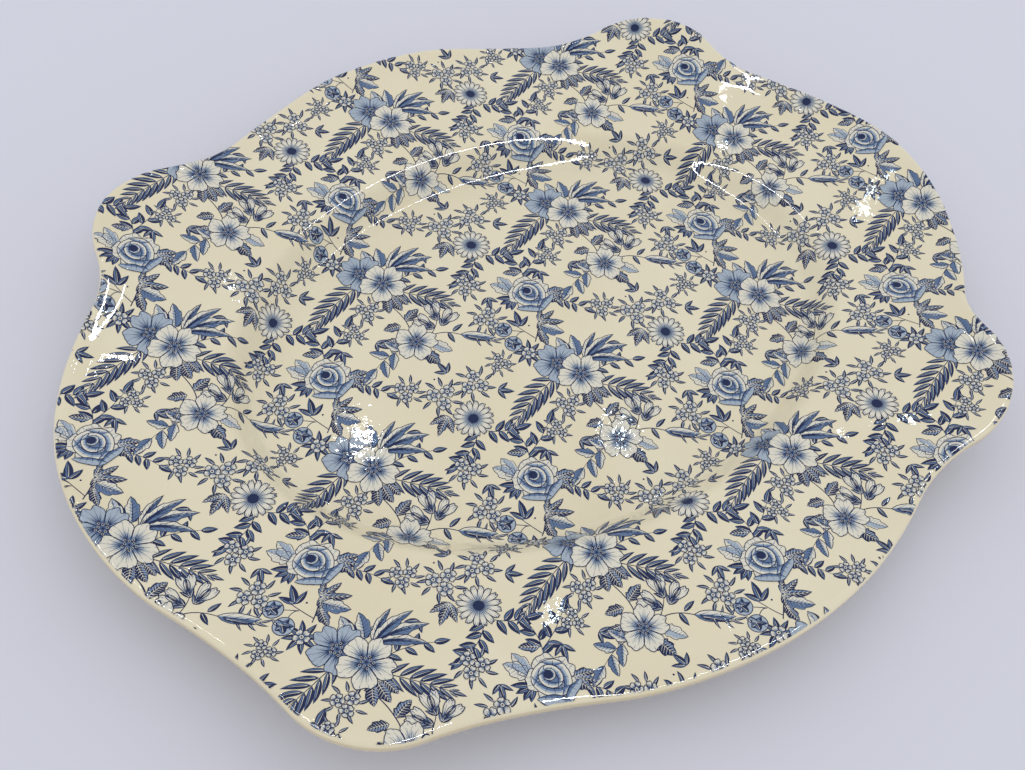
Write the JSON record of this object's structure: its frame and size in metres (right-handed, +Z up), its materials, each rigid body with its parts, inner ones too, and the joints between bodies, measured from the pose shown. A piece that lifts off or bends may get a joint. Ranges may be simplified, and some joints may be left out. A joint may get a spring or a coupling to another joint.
{
  "type": "china serving platter",
  "caption": "Oval earthenware serving platter with a deep well, a sloping rim and lifted corner lobes, covered in a small blue floral print under clear glaze.",
  "frame": {"origin": "on the table, under the middle of the platter", "axes": "+X along the platter, +Y across it, +Z up"},
  "size_m": [0.3314, 0.2722, 0.0313],
  "materials": {
    "bisque_earthenware": "matt unglazed biscuit, seen only on the tread of the foot ring",
    "cobalt_print": "cobalt blue transfer print under glaze",
    "clear_glaze": "high gloss clear glaze over a cream ground"
  },
  "bodies": {
    "root": {"earthenware_body": "bisque_earthenware", "face_print": "cobalt_print", "outer_glaze": "clear_glaze", "base_glaze": "clear_glaze"}
  },
  "joints": []
}
